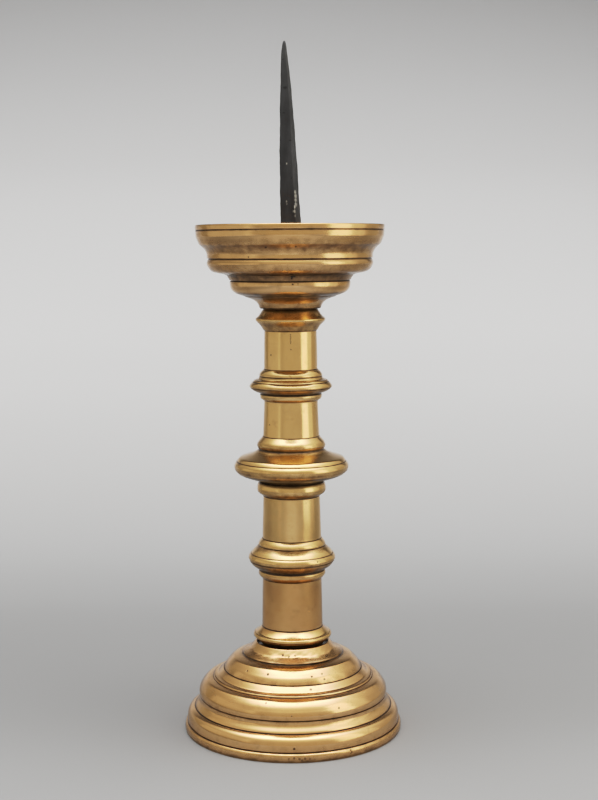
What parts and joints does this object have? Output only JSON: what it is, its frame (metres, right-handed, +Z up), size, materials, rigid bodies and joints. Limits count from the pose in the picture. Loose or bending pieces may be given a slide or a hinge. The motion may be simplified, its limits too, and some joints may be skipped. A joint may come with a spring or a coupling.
{
  "type": "pricket candlestick",
  "caption": "Turned brass altar candlestick: stepped hollow foot, knopped stem and moulded drip pan clamped on an iron rod that ends in a tapered candle spike.",
  "frame": {"origin": "centre of the circle that the foot stands on, on the turning axis", "axes": "+Z up along the turning axis towards the spike's tip; -Y towards the viewer of the picture, so the spike leans slightly to -X"},
  "size_m": [0.1442, 0.1442, 0.4512],
  "materials": {
    "brass": "turned and hand-polished cast brass, warm gold, with brown patina in the grooves and small casting pits",
    "wrought_iron": "hammered wrought iron, blackened, worn bright in small spots",
    "lead": "dull grey run lead"
  },
  "bodies": {
    "root": {"foot": "brass", "stem": "brass", "drip_pan": "brass", "pricket_rod": "wrought_iron", "pricket_washer": "wrought_iron", "clamp_plate": "wrought_iron", "forelock_wedge": "wrought_iron", "upper_lead_packing": "lead", "lower_lead_packing": "lead"}
  },
  "joints": []
}
